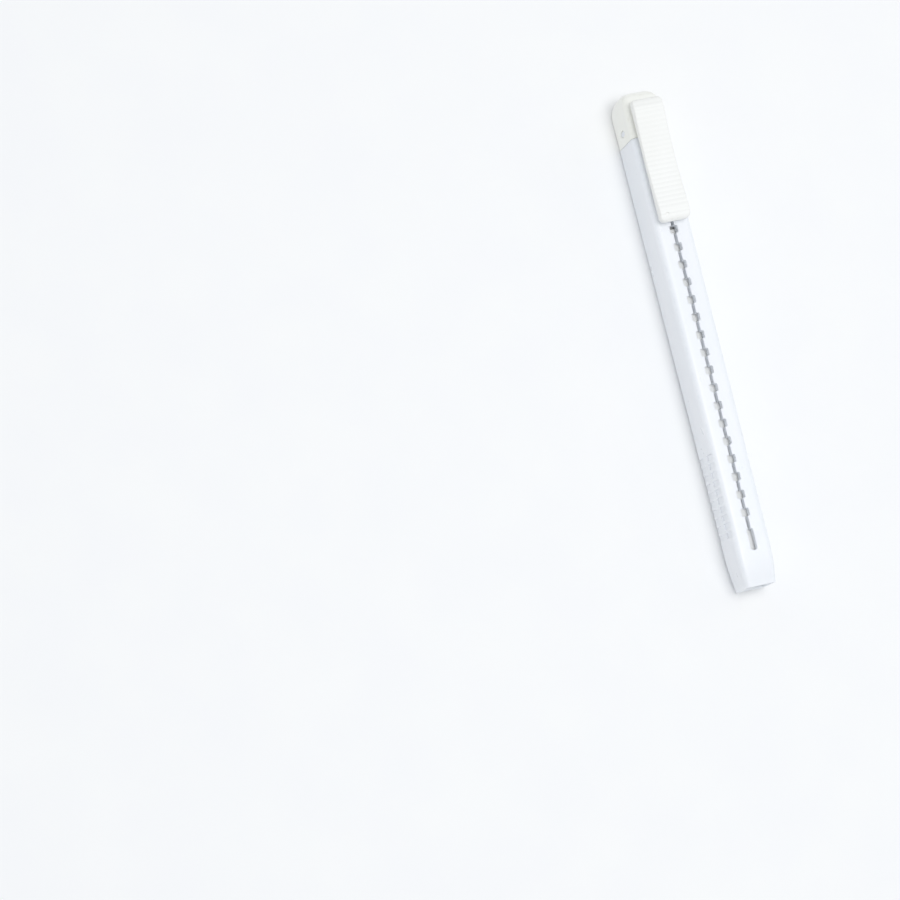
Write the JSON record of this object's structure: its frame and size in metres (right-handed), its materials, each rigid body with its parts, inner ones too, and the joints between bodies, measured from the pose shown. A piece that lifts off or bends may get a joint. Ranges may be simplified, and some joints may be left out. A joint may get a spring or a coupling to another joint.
{
  "type": "slide-advance stick eraser",
  "caption": "Slim flat-sided stick eraser: a thumb slider clicks along a slotted barrel and feeds a rectangular eraser refill out of its mouth.",
  "frame": {"origin": "middle of the length and width, on the surface that the barrel lies on with its back down", "axes": "+Y along the barrel towards the cap, the mouth is at -Y; +Z is the slider side; X is the width"},
  "size_m": [0.009, 0.118, 0.016],
  "materials": {
    "barrel_plastic": "cool white polypropylene, satin gloss, very slightly translucent",
    "cap_plastic": "natural ivory-white polypropylene, satin",
    "slider_plastic": "warm white moulded plastic, fine matt",
    "inner_plastic": "white acetal, satin",
    "eraser_vinyl": "soft white vinyl, dull"
  },
  "bodies": {
    "body": {"barrel": "barrel_plastic", "end_cap": "cap_plastic"},
    "carriage": {"carrier": "inner_plastic", "leaf_spring": "inner_plastic"},
    "button": {"thumb_slider": "slider_plastic", "click_plate": "inner_plastic", "click_nib": "inner_plastic"},
    "front_jaw": {"jaw_front": "inner_plastic"},
    "back_jaw": {"jaw_back": "inner_plastic"},
    "refill": {"eraser_refill": "eraser_vinyl"}
  },
  "joints": [
    {"name": "carriage_slide", "type": "slide", "parent": "body", "child": "carriage", "axis": [0, -1, 0], "range_m": [0, 0.084], "deforming": ["click_nib"]},
    {"name": "button_press", "type": "slide", "parent": "carriage", "child": "button", "axis": [0, 0, -1], "range_m": [0, 0.0009], "stiffness_N_per_m": 1500, "springref_m": -0.0005, "deforming": ["leaf_spring"]},
    {"name": "jaw_front_flex", "type": "hinge", "parent": "carriage", "child": "front_jaw", "pos_m": [0, 0.0313, 0.00906], "axis": [-1, 0, 0], "range_deg": [0, 3], "stiffness_Nm_per_rad": 0.02},
    {"name": "jaw_back_flex", "type": "hinge", "parent": "carriage", "child": "back_jaw", "pos_m": [0, 0.0313, 0.00208], "axis": [1, 0, 0], "range_deg": [0, 3], "stiffness_Nm_per_rad": 0.02},
    {"name": "refill_pull", "type": "slide", "parent": "carriage", "child": "refill", "axis": [0, -1, 0], "range_m": [0, 0.006]}
  ]
}
